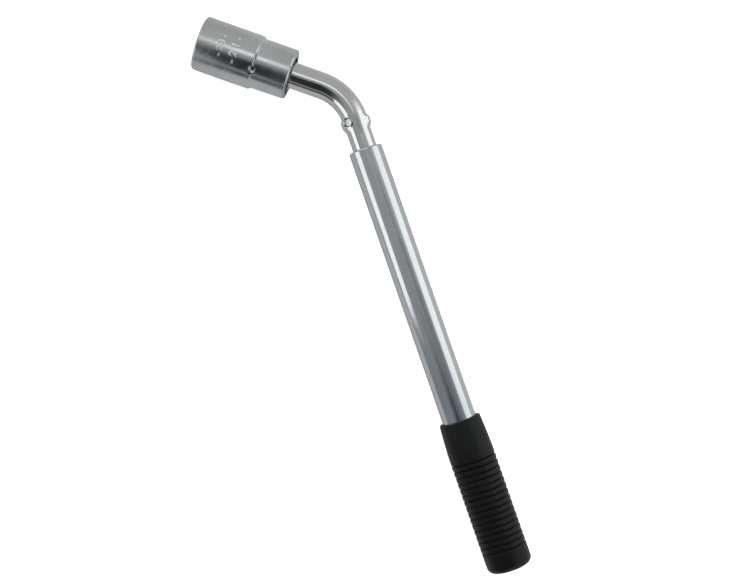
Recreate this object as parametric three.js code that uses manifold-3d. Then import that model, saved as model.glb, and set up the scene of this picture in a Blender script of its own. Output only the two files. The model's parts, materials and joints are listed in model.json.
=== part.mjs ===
// Telescopic wheel wrench: a double-ended socket on the square head of a bent round bar, which
// slides in a tube handle with a ribbed grip. Millimetres, +Z up, lying flat: the socket's axis is
// along X with its large mouth towards -X, and the bend lies in a horizontal plane.

import * as THREE from 'three';
import { mergeVertices } from 'three/addons/utils/BufferGeometryUtils.js';
import Module from 'manifold-3d';

const wasm = await Module();
wasm.setup();

const deg = THREE.MathUtils.degToRad;

// Gap that neighbouring pieces keep, and the facets of round pieces
const GAP = 0.3;
const ROUND = 48;
const FINE = 32;
const SMALL = 16;

// Socket: 23 mm hexagon in the large end, 21 mm in the small end, a 1/2 inch square bore between
const SOCKET_LENGTH = 56;
const LARGE_RADIUS = 16;
const SMALL_RADIUS = 14.8;
const STEP_AT = 34.8;
const STEP_LENGTH = 1.6;
const SOCKET_CHAMFER = 1.2;
const LARGE_HEX = 23;
const SMALL_HEX = 21;
const LARGE_HEX_DEPTH = 20;
const SMALL_HEX_DEPTH = 17;
const HEX_LEAD_IN = 0.9;
const DETENT_HOLE_RADIUS = 2.3;

// Square drive, turned about the socket's axis from +Z towards the inside of the bend
const DRIVE = 12.7;
const DRIVE_CORNER_RADIUS = 8.3;
const DRIVE_LENGTH = 13;
const DRIVE_TURN = deg(27);
const DRIVE_BALL_RADIUS = 2;
const DRIVE_BALL_PROUD = 0.9;

// Bar: straight out of the socket, bent, then down the tube
const BAR_RADIUS = 7;
const SHOULDER_RADIUS = 9.1;
const SHOULDER_LENGTH = 2.4;
const BEND = deg(51.4);
const BEND_RADIUS = 32;
const BEND_STEPS = 10;
const SOCKET_TO_CORNER = 33.5;
const CORNER_TO_TUBE = 33.9;
const STAKE_FROM = 10.4;
const STAKE_TO = 20;
const STAKE_RADIUS = 8.2;
const STAKE_THICKNESS = 6;
const PUNCH_RADIUS = 2;
const PUNCH_DEPTH = 0.7;
const PUNCH_AT = 17.6;
const PUNCH_TURN = deg(44);

// Tube handle, with its mouth rolled in over the bar
const TUBE_RADIUS = 10;
const TUBE_BORE_RADIUS = 8.4;
const TUBE_LENGTH = 250;
const LIP_LENGTH = 2.6;
const BUSH_SEAT_RADIUS = 8.95;

// Floating guide bush behind the rolled mouth, and the stop collar that it meets at full reach
const BUSH_LENGTH = 16;
const HANDLE_TRAVEL = 165;
const COLLAR_RADIUS = 8.05;
const COLLAR_LENGTH = 8;
const NECK_RADIUS = 5.5;
const PIN_RADIUS = 1.5;
const PIN_BORE_RADIUS = 0.8;
const HANDLE_BALL_RADIUS = 3;
const HANDLE_BALL_PAST_COLLAR = 6.2;
const NECK_PAST_BALL = 7;

// Grip and plug
const GRIP_FROM = 166;
const GRIP_LENGTH = 90.7;
const GRIP_LIP_RADIUS = 12.2;
const GRIP_COLLAR_RADIUS = 13.2;
const GRIP_COLLAR_LENGTH = 20;
const GRIP_RADIUS = 13.4;
const GRIP_END_ROUND = 5;
const GRIP_END_WALL = 4.6;
const GROOVE_COUNT = 16;
const GROOVE_PITCH = 3.57;
const GROOVE_FROM = 24.4;
const GROOVE_DEPTH = 0.9;
const GROOVE_WIDTH = 1.5;
const PLUG_LENGTH = 10;
const PLUG_FLANGE = 1.5;

// Worked out from the above: x along the socket's axis from its mouth, or s along the handle's
// axis from the tube's mouth
const WEB_END = SOCKET_LENGTH - SMALL_HEX_DEPTH;
const DRIVE_END = WEB_END + GAP;
const CORNER_X = SOCKET_LENGTH + SOCKET_TO_CORNER;
const BUSH_FROM = LIP_LENGTH + GAP;
const BUSH_END = BUSH_FROM + BUSH_LENGTH;
const COLLAR_FROM = BUSH_END + HANDLE_TRAVEL + 0.4;
const COLLAR_MIDDLE = COLLAR_FROM + COLLAR_LENGTH / 2;
const NECK_FROM = COLLAR_FROM - GAP;
const HANDLE_BALL_AT = COLLAR_FROM + COLLAR_LENGTH + HANDLE_BALL_PAST_COLLAR;
const NECK_END = HANDLE_BALL_AT + NECK_PAST_BALL;
const GRIP_END = GRIP_FROM + GRIP_LENGTH;
const GRIP_BORE_RADIUS = TUBE_RADIUS + GAP;

const handleFrame = new THREE.Matrix4()
  .makeTranslation(CORNER_X, 0, 0)
  .multiply(new THREE.Matrix4().makeRotationZ(-BEND))
  .multiply(new THREE.Matrix4().makeTranslation(CORNER_TO_TUBE, 0, 0));

const chrome = { color: 0xb9bcc0, roughness: 0.12, metalness: 1 };
const steel = { color: 0x8d8f92, roughness: 0.35, metalness: 1 };
const bronze = { color: 0x9a7440, roughness: 0.4, metalness: 1 };
const rubber = { color: 0x17191a, roughness: 0.62, metalness: 0 };
const plastic = { color: 0x2b2d30, roughness: 0.5, metalness: 0 };

// A closed solid from a geometry: its shared vertices merged, its faces pointing out
function solid(geometry) {
  const bare = geometry.clone();
  bare.deleteAttribute('normal');
  bare.deleteAttribute('uv');
  const merged = mergeVertices(bare, 1e-4);
  const faces = facesOf(merged.index.array);
  const points = Float32Array.from(merged.attributes.position.array);
  if (signedVolume(points, faces) < 0) faces.forEach((face) => face.reverse());
  const mesh = new wasm.Mesh({
    numProp: 3,
    vertProperties: points,
    triVerts: Uint32Array.from(faces.flat()),
  });
  return new wasm.Manifold(mesh);
}

// The triangles that still have three corners
function facesOf(index) {
  const faces = [];
  for (let i = 0; i < index.length; i += 3) {
    const [a, b, c] = index.slice(i, i + 3);
    if (a !== b && b !== c && c !== a) faces.push([a, b, c]);
  }
  return faces;
}

function signedVolume(points, faces) {
  const corner = (i) => new THREE.Vector3().fromArray(points, 3 * i);
  const sixth = ([a, b, c]) => corner(a).dot(corner(b).cross(corner(c))) / 6;
  return faces.reduce((sum, face) => sum + sixth(face), 0);
}

function meshOf(name, body, look) {
  const { vertProperties, triVerts } = body.getMesh();
  const geometry = new THREE.BufferGeometry();
  geometry.setAttribute('position', new THREE.BufferAttribute(vertProperties, 3));
  geometry.setIndex(new THREE.BufferAttribute(triVerts, 1));
  geometry.computeVertexNormals();
  const mesh = new THREE.Mesh(geometry, new THREE.MeshStandardMaterial(look));
  mesh.name = name;
  return mesh;
}

// A shape turned about the X axis, from [x, radius] pairs that start and end on the axis or meet
function turned(outline, sides = ROUND) {
  const profile = outline.map(([x, radius]) => new THREE.Vector2(radius, x));
  return new THREE.LatheGeometry(profile, sides).rotateZ(-Math.PI / 2);
}

// A rod or prism along X
function rod(radius, from, to, sides = ROUND) {
  return turned([[from, 0], [from, radius], [to, radius], [to, 0]], sides);
}

// A rod along Z
function upright(radius, from, to, sides = SMALL) {
  const middle = (from + to) / 2;
  const cylinder = new THREE.CylinderGeometry(radius, radius, to - from, sides);
  return cylinder.rotateX(Math.PI / 2).translate(0, 0, middle);
}

// A ring about the X axis, with its edges broken by a chamfer
function ring(inner, outer, from, to, chamfer, sides = ROUND) {
  const outline = [
    [from, inner],
    [from, outer - chamfer],
    [from + chamfer, outer],
    [to - chamfer, outer],
    [to, outer - chamfer],
    [to, inner],
    [from, inner],
  ];
  return solid(turned(outline, sides));
}

// A hexagonal recess along X, with one flat facing the drive ball
function hexagon(acrossFlats, from, to) {
  const corner = acrossFlats / 2 / Math.cos(Math.PI / 6);
  return solid(rod(corner, from, to, 6).rotateX(DRIVE_TURN + Math.PI / 6));
}

// A square prism along X, with one flat facing the drive ball
function square(acrossFlats, from, to) {
  return solid(rod(acrossFlats / Math.SQRT2, from, to, 4).rotateX(DRIVE_TURN + Math.PI / 4));
}

// The cone that leads a nut into a hexagon; direction is 1 when the mouth faces -X
function leadIn(acrossFlats, mouth, direction) {
  const flat = acrossFlats / 2;
  const back = mouth - direction;
  const bottom = mouth + direction * HEX_LEAD_IN;
  const wide = flat + HEX_LEAD_IN;
  return solid(turned([[back, 0], [back, wide], [mouth, wide], [bottom, flat], [bottom, 0]]));
}

function socketBody() {
  const step = STEP_LENGTH / 2;
  const outline = [
    [0, 0],
    [0, LARGE_RADIUS - SOCKET_CHAMFER],
    [SOCKET_CHAMFER, LARGE_RADIUS],
    [STEP_AT - step, LARGE_RADIUS],
    [STEP_AT + step, SMALL_RADIUS],
    [SOCKET_LENGTH - SOCKET_CHAMFER, SMALL_RADIUS],
    [SOCKET_LENGTH, SMALL_RADIUS - SOCKET_CHAMFER],
    [SOCKET_LENGTH, 0],
  ];
  const detentHole = upright(DETENT_HOLE_RADIUS, 0, LARGE_RADIUS + 1)
    .rotateX(DRIVE_TURN)
    .translate(STEP_AT, 0, 0);
  return solid(turned(outline))
    .subtract(hexagon(LARGE_HEX, -1, LARGE_HEX_DEPTH))
    .subtract(hexagon(SMALL_HEX, WEB_END, SOCKET_LENGTH + 1))
    .subtract(square(DRIVE + 2 * GAP, LARGE_HEX_DEPTH - 1, WEB_END + 1))
    .subtract(leadIn(LARGE_HEX, 0, 1))
    .subtract(leadIn(SMALL_HEX, SOCKET_LENGTH, -1))
    .subtract(solid(detentHole));
}

// Centre line of the bar: a straight run, the bend and a straight run, with a station at each end
// of the straight runs and evenly round the bend
class BentRun extends THREE.Curve {
  static stations = BEND_STEPS + 2;

  static angleAt(u) {
    const station = Math.round(u * BentRun.stations);
    return BEND * THREE.MathUtils.clamp((station - 1) / BEND_STEPS, 0, 1);
  }

  getPointAt(u) {
    if (u === 0) return new THREE.Vector3(DRIVE_END, 0, 0);
    if (u === 1) return new THREE.Vector3(NECK_FROM, 0, 0).applyMatrix4(handleFrame);
    const angle = BentRun.angleAt(u);
    const bendStart = CORNER_X - BEND_RADIUS * Math.tan(BEND / 2);
    const along = bendStart + BEND_RADIUS * Math.sin(angle);
    return new THREE.Vector3(along, BEND_RADIUS * (Math.cos(angle) - 1), 0);
  }

  getTangentAt(u) {
    const angle = BentRun.angleAt(u);
    return new THREE.Vector3(Math.cos(angle), -Math.sin(angle), 0);
  }
}

function bentBar() {
  const section = new THREE.Shape().absarc(0, 0, BAR_RADIUS, 0, 2 * Math.PI);
  const run = new THREE.ExtrudeGeometry(section, {
    curveSegments: FINE / 2,
    steps: BentRun.stations,
    extrudePath: new BentRun(),
  });
  return solid(run);
}

// The square head, its corners rounded and its tip chamfered
function driveHead() {
  const tip = DRIVE_END - DRIVE_LENGTH;
  const end = DRIVE_END + 1;
  const outline = [
    [tip, 0],
    [tip, DRIVE_CORNER_RADIUS - 1.3],
    [tip + 1.3, DRIVE_CORNER_RADIUS],
    [end, DRIVE_CORNER_RADIUS],
    [end, 0],
  ];
  return square(DRIVE, tip, end).intersect(solid(turned(outline)));
}

// The forged shoulder that the socket's web stops against
function shoulder() {
  const end = DRIVE_END + SHOULDER_LENGTH;
  const outline = [
    [DRIVE_END, 0],
    [DRIVE_END, SHOULDER_RADIUS - 0.4],
    [DRIVE_END + 0.4, SHOULDER_RADIUS],
    [end, SHOULDER_RADIUS],
    [end + 2, BAR_RADIUS - 0.1],
    [end + 2, 0],
  ];
  return solid(turned(outline));
}

// Two ears squeezed out of the bar by a press, steep towards the bend and tapered to the handle
function stakedEars() {
  const inside = BAR_RADIUS - 0.6;
  const outline = [
    [-STAKE_TO, 0],
    [-STAKE_TO, inside],
    [-STAKE_TO + 2, STAKE_RADIUS],
    [-STAKE_TO + 4.5, STAKE_RADIUS],
    [-STAKE_FROM, inside],
    [-STAKE_FROM, 0],
  ];
  const length = STAKE_TO - STAKE_FROM + 2;
  const slab = new THREE.BoxGeometry(length, 2 * STAKE_RADIUS + 2, STAKE_THICKNESS)
    .translate(-(STAKE_FROM + STAKE_TO) / 2, 0, 0)
    .applyMatrix4(handleFrame);
  return solid(turned(outline).applyMatrix4(handleFrame)).intersect(solid(slab));
}

// The shallow round mark of the staking punch
function punchMark() {
  const sphere = (PUNCH_RADIUS ** 2 + PUNCH_DEPTH ** 2) / (2 * PUNCH_DEPTH);
  const mark = new THREE.SphereGeometry(sphere, SMALL, SMALL)
    .translate(0, 0, BAR_RADIUS - PUNCH_DEPTH + sphere)
    .rotateX(PUNCH_TURN)
    .translate(-PUNCH_AT, 0, 0);
  return solid(mark.applyMatrix4(handleFrame));
}

// The reduced inner end that carries the stop collar and the handle ball
function neck() {
  const outline = [
    [NECK_FROM - 2, 0],
    [NECK_FROM - 2, NECK_RADIUS],
    [NECK_END - 1, NECK_RADIUS],
    [NECK_END, NECK_RADIUS - 1],
    [NECK_END, 0],
  ];
  return solid(turned(outline, FINE).applyMatrix4(handleFrame));
}

function driveBar() {
  const ballPocket = upright(DRIVE_BALL_RADIUS + GAP, -1, DRIVE)
    .rotateX(DRIVE_TURN)
    .translate(STEP_AT, 0, 0);
  const pinHole = upright(PIN_RADIUS + GAP, -2 * NECK_RADIUS, 2 * NECK_RADIUS)
    .translate(COLLAR_MIDDLE, 0, 0);
  const handlePocket = upright(HANDLE_BALL_RADIUS + GAP, -3.5, 2 * NECK_RADIUS)
    .translate(HANDLE_BALL_AT, 0, 0);
  return bentBar()
    .add(driveHead())
    .add(shoulder())
    .add(neck())
    .add(stakedEars())
    .subtract(punchMark())
    .subtract(solid(ballPocket))
    .subtract(solid(pinHole.applyMatrix4(handleFrame)))
    .subtract(solid(handlePocket.applyMatrix4(handleFrame)));
}

// Centre line of a coil spring that stands on Z
class Coil extends THREE.Curve {
  constructor(radius, from, to, turns) {
    super();
    Object.assign(this, { radius, from, to, turns });
  }

  getPoint(t) {
    const angle = 2 * Math.PI * this.turns * t;
    const height = this.from + (this.to - this.from) * t;
    return new THREE.Vector3(
      this.radius * Math.cos(angle),
      this.radius * Math.sin(angle),
      height,
    );
  }
}

// A coil spring from one height on Z to another, of a given outer radius
function spring(outer, from, to, wire) {
  const turns = 4;
  const section = new THREE.Shape().absarc(0, 0, wire, 0, 2 * Math.PI);
  return new THREE.ExtrudeGeometry(section, {
    curveSegments: 3,
    steps: 14 * turns,
    extrudePath: new Coil(outer - wire, from + wire, to - wire, turns),
  });
}

const driveBallHeight = DRIVE / 2 + DRIVE_BALL_PROUD - DRIVE_BALL_RADIUS;
const handleBallHeight = COLLAR_RADIUS - HANDLE_BALL_RADIUS;

function driveBall() {
  return new THREE.SphereGeometry(DRIVE_BALL_RADIUS, SMALL, SMALL)
    .translate(0, 0, driveBallHeight)
    .rotateX(DRIVE_TURN)
    .translate(STEP_AT, 0, 0);
}

function driveSpring() {
  const top = driveBallHeight - DRIVE_BALL_RADIUS - GAP;
  return spring(DRIVE_BALL_RADIUS - 0.1, -1 + GAP, top, 0.25)
    .rotateX(DRIVE_TURN)
    .translate(STEP_AT, 0, 0);
}

function handleBall() {
  return new THREE.SphereGeometry(HANDLE_BALL_RADIUS, SMALL, SMALL)
    .translate(HANDLE_BALL_AT, 0, handleBallHeight);
}

function handleSpring() {
  const top = handleBallHeight - HANDLE_BALL_RADIUS - GAP;
  return spring(HANDLE_BALL_RADIUS - 0.1, -3.5 + GAP, top, 0.3)
    .translate(HANDLE_BALL_AT, 0, 0);
}

// Tube: rolled in at the mouth, relieved behind it for the bush, plain to the end
function tube() {
  const outline = [
    [0, BAR_RADIUS + 0.35],
    [0, BAR_RADIUS + 0.9],
    [0.8, TUBE_RADIUS - 0.9],
    [2.2, TUBE_RADIUS],
    [TUBE_LENGTH, TUBE_RADIUS],
    [TUBE_LENGTH, TUBE_BORE_RADIUS],
    [BUSH_END + GAP + 0.6, TUBE_BORE_RADIUS],
    [BUSH_END + GAP, BUSH_SEAT_RADIUS],
    [LIP_LENGTH, BUSH_SEAT_RADIUS],
    [LIP_LENGTH, BAR_RADIUS + 0.35],
    [0, BAR_RADIUS + 0.35],
  ];
  return solid(turned(outline));
}

function guideBush() {
  return ring(BAR_RADIUS + GAP, BUSH_SEAT_RADIUS - GAP, BUSH_FROM, BUSH_END, 0.4);
}

function stopCollar() {
  const hole = upright(PIN_RADIUS + GAP, -2 * COLLAR_RADIUS, 2 * COLLAR_RADIUS)
    .translate(COLLAR_MIDDLE, 0, 0);
  const end = COLLAR_FROM + COLLAR_LENGTH;
  return ring(NECK_RADIUS + GAP, COLLAR_RADIUS, COLLAR_FROM, end, 0.4).subtract(solid(hole));
}

// Slotted roll pin through the collar and the bar's neck
function collarPin() {
  const slot = deg(24);
  const length = 2 * COLLAR_RADIUS - 1;
  const section = new THREE.Shape()
    .absarc(0, 0, PIN_RADIUS, slot, 2 * Math.PI - slot, false)
    .absarc(0, 0, PIN_BORE_RADIUS, 2 * Math.PI - slot, slot, true);
  return new THREE.ExtrudeGeometry(section, {
    curveSegments: 8,
    depth: length,
    bevelEnabled: false,
  }).translate(COLLAR_MIDDLE, 0, -length / 2);
}

// Plug driven into the tube's closed end, with a flange over the end of the tube
function endPlug() {
  const face = TUBE_LENGTH + GAP;
  const outline = [
    [TUBE_LENGTH - PLUG_LENGTH, 0],
    [TUBE_LENGTH - PLUG_LENGTH, TUBE_BORE_RADIUS - GAP - 0.8],
    [TUBE_LENGTH - PLUG_LENGTH + 0.8, TUBE_BORE_RADIUS - GAP],
    [face, TUBE_BORE_RADIUS - GAP],
    [face, TUBE_RADIUS - 0.2],
    [face + PLUG_FLANGE, TUBE_RADIUS - 0.2],
    [face + PLUG_FLANGE, 0],
  ];
  return solid(turned(outline, FINE));
}

// Grip: a smooth collar that flares from the lip, ring grooves, and a closed rounded end
function gripBody() {
  const outline = [
    [GRIP_END - GRIP_END_WALL, 0],
    [GRIP_END - GRIP_END_WALL, GRIP_BORE_RADIUS],
    [GRIP_FROM, GRIP_BORE_RADIUS],
    [GRIP_FROM, GRIP_LIP_RADIUS - 0.8],
    [GRIP_FROM + 0.8, GRIP_LIP_RADIUS],
    [GRIP_FROM + GRIP_COLLAR_LENGTH / 2, (GRIP_LIP_RADIUS + 2 * GRIP_COLLAR_RADIUS) / 3],
    [GRIP_FROM + GRIP_COLLAR_LENGTH, GRIP_COLLAR_RADIUS],
  ];
  for (let i = 0; i < GROOVE_COUNT; i += 1) {
    const middle = GRIP_FROM + GROOVE_FROM + i * GROOVE_PITCH;
    outline.push([middle - GROOVE_WIDTH / 2, GRIP_RADIUS]);
    outline.push([middle, GRIP_RADIUS - GROOVE_DEPTH]);
    outline.push([middle + GROOVE_WIDTH / 2, GRIP_RADIUS]);
  }
  const roundSteps = 4;
  for (let i = 0; i <= roundSteps; i += 1) {
    const angle = (i / roundSteps) * (Math.PI / 2);
    outline.push([
      GRIP_END - GRIP_END_ROUND * (1 - Math.sin(angle)),
      GRIP_RADIUS - GRIP_END_ROUND * (1 - Math.cos(angle)),
    ]);
  }
  outline.push([GRIP_END, 0]);
  return solid(turned(outline, FINE));
}

const handle = new THREE.Group();
handle.applyMatrix4(handleFrame);
handle.add(
  meshOf('handle_tube', tube(), chrome),
  meshOf('grip', gripBody(), rubber),
  meshOf('end_plug', endPlug(), plastic),
  meshOf('guide_bush', guideBush(), bronze),
  meshOf('stop_collar', stopCollar(), steel),
  meshOf('collar_pin', solid(collarPin()), steel),
  meshOf('handle_ball', solid(handleBall()), steel),
  meshOf('handle_spring', solid(handleSpring()), steel),
);

const head = new THREE.Group();
head.add(
  meshOf('socket', socketBody(), chrome),
  meshOf('drive_bar', driveBar(), chrome),
  meshOf('drive_ball', solid(driveBall()), steel),
  meshOf('drive_spring', solid(driveSpring()), steel),
);

// The origin is at the bottom centre of the whole wrench
const wrench = new THREE.Group();
wrench.add(head, handle);
const box = new THREE.Box3().setFromObject(wrench, true);
const middle = box.getCenter(new THREE.Vector3());
wrench.position.set(-middle.x, -middle.y, -box.min.z);

export default wrench;
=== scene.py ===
# Looks of the telescopic wheel wrench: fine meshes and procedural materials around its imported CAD
# model, a studio for the chrome to mirror, and the camera. Named lengths are millimetres; Blender's
# are metres.
import json
import math

import bmesh
import bpy
from mathutils import Matrix, Vector


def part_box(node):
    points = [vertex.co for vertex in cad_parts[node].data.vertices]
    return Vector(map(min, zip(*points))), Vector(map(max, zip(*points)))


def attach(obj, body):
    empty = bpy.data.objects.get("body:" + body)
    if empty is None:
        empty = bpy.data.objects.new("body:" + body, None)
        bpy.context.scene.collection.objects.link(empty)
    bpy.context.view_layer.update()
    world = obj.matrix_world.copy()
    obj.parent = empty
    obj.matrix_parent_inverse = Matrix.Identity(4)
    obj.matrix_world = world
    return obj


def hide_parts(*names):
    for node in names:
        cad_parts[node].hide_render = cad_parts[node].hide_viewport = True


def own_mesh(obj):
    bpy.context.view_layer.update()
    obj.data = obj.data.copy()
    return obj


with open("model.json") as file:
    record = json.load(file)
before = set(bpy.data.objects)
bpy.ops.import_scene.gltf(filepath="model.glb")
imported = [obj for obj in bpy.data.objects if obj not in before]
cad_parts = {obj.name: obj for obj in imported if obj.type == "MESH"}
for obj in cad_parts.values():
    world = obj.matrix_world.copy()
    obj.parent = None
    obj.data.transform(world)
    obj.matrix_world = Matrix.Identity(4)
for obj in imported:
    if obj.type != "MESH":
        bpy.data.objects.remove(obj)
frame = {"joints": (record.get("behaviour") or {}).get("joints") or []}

MM = 0.001
TAU = 2 * math.pi
DEGREES = 180 / math.pi
UP = Vector((0, 0, 1))
SIDES = 144
SUPPORT = 0.12
SHARP = math.radians(35)

# Socket, from its large mouth
LARGE_RADIUS = 16
SMALL_RADIUS = 14.8
STEP_FROM = 34.5
STEP_TO = 35.6
SOCKET_LENGTH = 56
MOUTH_CHAMFER = (0.9, 0.45)
END_CHAMFER = (0.95, 0.62)
LARGE_HEX = 23
SMALL_HEX = 21
WEB_FROM = 20
WEB_TO = 39
DRIVE_BORE = 13.3
LEAD_IN = 0.9
HEX_CORNER_CUT = 0.45
DETENT_RADIUS = 2.3
DETENT_DEPTH = 1.5
DETENT_THROAT = 0.8
DETENT_POCKET_TO = 10.5

# Size digits raised round the socket: where each line starts, its height and its middle
MARKS = {"23": (12.2, 3.7), "21": (19.9, 4.6)}
MARK_MIDDLE = math.radians(-2)
MARK_RAISE = 0.5
MARK_WEIGHT = 0.14
MARK_SPACING = 1.5
MARK_HALF_DEPTH = 0.5
MARK_BEVEL = 0.12

# Bar: square head, shoulder, bend, staked ears, neck
DRIVE = 12.7
DRIVE_CORNER_RADIUS = 8.3
DRIVE_FROM = 26.3
DRIVE_TO = 39.3
TIP_CHAMFER = 1.3
SHOULDER_RADIUS = 9.1
SHOULDER_TO = 41.7
BAR_ROOT_RADIUS = 7.7
BAR_BEND_RADIUS = 7.5
BAR_END_RADIUS = 7.2
BAR_RADIUS = 7
BEND_RADIUS = 32
NECK_FROM = 184
NECK_TO = 205.5
NECK_RADIUS = 5.5
EAR_RAISE = 1.35
EAR_WIDTH = math.radians(34)
# Where each ear starts, is full, begins to fall and ends, from the tube's mouth
INSIDE_EAR = (-21.4, -17.2, -15.6, -10.9)
OUTSIDE_EAR = (-19.6, -17.2, -14.4, -11.2)
PUNCH_RIM = 0.22
PUNCH_AT = -17.3
PUNCH_TURN = math.radians(42)
PUNCH_RADIUS = 2.6
PUNCH_DEPTH = 0.75
DRIVE_BALL_AT = 34.8
DRIVE_BALL_HEIGHT = 5.25
DRIVE_BALL_RADIUS = 2
DRIVE_SPRING_FROM = -0.9
DRIVE_SPRING_WIRE = 0.25
HANDLE_BALL_AT = 198.5
HANDLE_BALL_HEIGHT = 5.05
HANDLE_BALL_RADIUS = 3
HANDLE_SPRING_FROM = -3.4
HANDLE_SPRING_WIRE = 0.3
GAP = 0.3

# Tube, bush, collar and pin
TUBE_RADIUS = 10
TUBE_BORE = 8.4
TUBE_LENGTH = 250
LIP_RADIUS = 7.35
LIP_LENGTH = 2.6
LIP_ROUND = 0.9
BUSH_SEAT = 8.95
BUSH_FROM = 2.9
BUSH_TO = 18.9
BUSH_RADIUS = 8.65
BUSH_BORE = 7.3
COLLAR_FROM = 184.3
COLLAR_TO = 192.3
COLLAR_RADIUS = 8.05
COLLAR_BORE = 5.8
PIN_AT = 188.3
PIN_RADIUS = 1.5
PIN_BORE = 0.8
PIN_LENGTH = 15.1

# Grip and plug
GRIP_FROM = 166
GRIP_TO = 257.2
GRIP_BORE = 10.3
GRIP_LIP = 12.2
GRIP_LIP_LENGTH = 6
GRIP_LIP_RISE = 0.45
GRIP_FLARE = 1.2
GRIP_END_CROWN = 0.35
GRIP_COLLAR_LENGTH = 20
GRIP_RADIUS = 13.4
GRIP_END_ROUND = 4.3
GRIP_END_WALL = 4.6
GROOVES = 16
GROOVE_PITCH = 3.57
GROOVE_FROM = 24.4
GROOVE_WIDTH = 1.4
GROOVE_DEPTH = 0.8
RIB_CROWN = 0.1
PLUG_FROM = 240
PLUG_FACE = 250.3
PLUG_TO = 251.8
PLUG_RADIUS = 8.1
PLUG_FLANGE = 9.8


class Axis:
    """A line through the part. Angles round it are turned from up towards side."""

    def __init__(self, origin, along, up=UP):
        self.origin = Vector(origin)
        self.along = Vector(along).normalized()
        self.up = Vector(up)
        self.side = self.along.cross(self.up)

    def outward(self, angle):
        return self.up * math.cos(angle) + self.side * math.sin(angle)

    def at(self, s, radius=0.0, angle=0.0):
        return self.origin + (self.along * s + self.outward(angle) * radius) * MM

    def radial(self, s, angle):
        """The axis that leaves this one at s, square to it."""
        return Axis(self.at(s), self.outward(angle), self.along)

    def read(self, point):
        """A point's distance along the axis, radius and angle."""
        offset = (point - self.origin) / MM
        s = offset.dot(self.along)
        across = offset - self.along * s
        return s, across.length, math.atan2(across.dot(self.side), across.dot(self.up))


def joint(name):
    """The frame's joint of that name."""
    return next(j for j in frame["joints"] if j["name"] == name)


def socket_axis():
    """The socket's axis, from the middle of its large mouth; its angles turn to the inside of the bend."""
    low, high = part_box("socket")
    middle = (low + high) / 2
    return Axis((low.x, middle.y, middle.z), -Vector(joint("socket_slide")["axis"]))


HEAD = socket_axis()
HANDLE = Axis(joint("handle_spin")["pos_m"], joint("handle_spin")["axis"])
BEND = HEAD.along.angle(HANDLE.along)
DRIVE_TURN = HEAD.read(HEAD.origin + Vector(joint("drive_ball_press")["axis"]))[2]
TUBE_BEFORE_CORNER = (HANDLE.origin - HEAD.origin).dot(HEAD.side) / HANDLE.along.dot(HEAD.side) / MM
CORNER = HEAD.read(HANDLE.at(-TUBE_BEFORE_CORNER))[0]
TANGENT = BEND_RADIUS * math.tan(BEND / 2)
BEND_FROM = CORNER - TANGENT
BEND_TO = BEND_FROM + BEND_RADIUS * BEND
TUBE_MOUTH = BEND_TO + TUBE_BEFORE_CORNER - TANGENT


def bar_axis(distance):
    """The bar's own axis at a distance along its centre line from the socket's mouth."""
    if distance <= BEND_FROM:
        return Axis(HEAD.at(distance), HEAD.along)
    if distance >= BEND_TO:
        return Axis(HANDLE.at(distance - TUBE_MOUTH), HANDLE.along)
    angle = (distance - BEND_FROM) / BEND_RADIUS
    centre = HEAD.at(BEND_FROM) + HEAD.side * BEND_RADIUS * MM
    spoke = HEAD.along * math.sin(angle) - HEAD.side * math.cos(angle)
    along = HEAD.along * math.cos(angle) + HEAD.side * math.sin(angle)
    return Axis(centre + spoke * BEND_RADIUS * MM, along)


# Outlines and sections


def smooth(value, start, end):
    """0 before start, 1 after end, with a smooth rise between them."""
    t = min(1, max(0, (value - start) / (end - start)))
    return t * t * (3 - 2 * t)


def arc(start, end, centre, turn, steps):
    """Points from start to end round centre, which are turn apart."""
    first = start - centre
    last = end - centre
    for i in range(steps + 1):
        t = i / steps
        yield centre + (first * math.sin((1 - t) * turn) + last * math.sin(t * turn)) / math.sin(turn)


def filleted(outline):
    """Rounds the corners of an outline of (along, radius) or (along, radius, fillet), and holds the
    straight stretches beside each round flat with a point close to its end."""
    points = []
    corners = [Vector(p[:2]) for p in outline]
    for i, here in enumerate(corners):
        fillet = outline[i][2] if len(outline[i]) > 2 else 0
        if not fillet:
            points.append(here)
            continue
        before = corners[i - 1] - here
        after = corners[i + 1] - here
        half = before.angle(after) / 2
        reach = fillet / math.tan(half)
        turn = math.pi - 2 * half
        unit = (before.normalized(), after.normalized())
        centre = here + (unit[0] + unit[1]).normalized() * fillet / math.sin(half)
        steps = max(3, round(turn / math.radians(11)))
        if before.length > reach + 4 * SUPPORT:
            points.append(here + unit[0] * (reach + SUPPORT))
        points.extend(arc(here + unit[0] * reach, here + unit[1] * reach, centre, turn, steps))
        if after.length > reach + 4 * SUPPORT:
            points.append(here + unit[1] * (reach + SUPPORT))
    return points


def polygon(count, across_flats, corner_cut=0.0):
    """The radius, by angle, of a prism with one flat facing the drive ball."""
    wedge = TAU / count
    limit = across_flats / 2 / math.cos(wedge / 2) - corner_cut

    def radius(angle):
        from_flat = (angle - DRIVE_TURN + wedge / 2) % wedge - wedge / 2
        return min(across_flats / 2 / math.cos(from_flat), limit)

    return radius


def ring(axis, s, radius, sides=SIDES, turn=DRIVE_TURN):
    """A ring of points; radius is a length, or a function of the angle."""
    if not callable(radius) and radius < 1e-6:
        return [axis.at(s)]
    angles = [turn + TAU * i / sides for i in range(sides)]
    return [axis.at(s, radius(a) if callable(radius) else radius, a) for a in angles]


# Meshes


def show(name, mesh):
    """An object for a mesh, shaded smooth up to its sharp edges."""
    mesh.shade_smooth()
    mesh.set_sharp_from_angle(angle=SHARP)
    piece = bpy.data.objects.new(name, mesh)
    bpy.context.scene.collection.objects.link(piece)
    return piece


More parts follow.
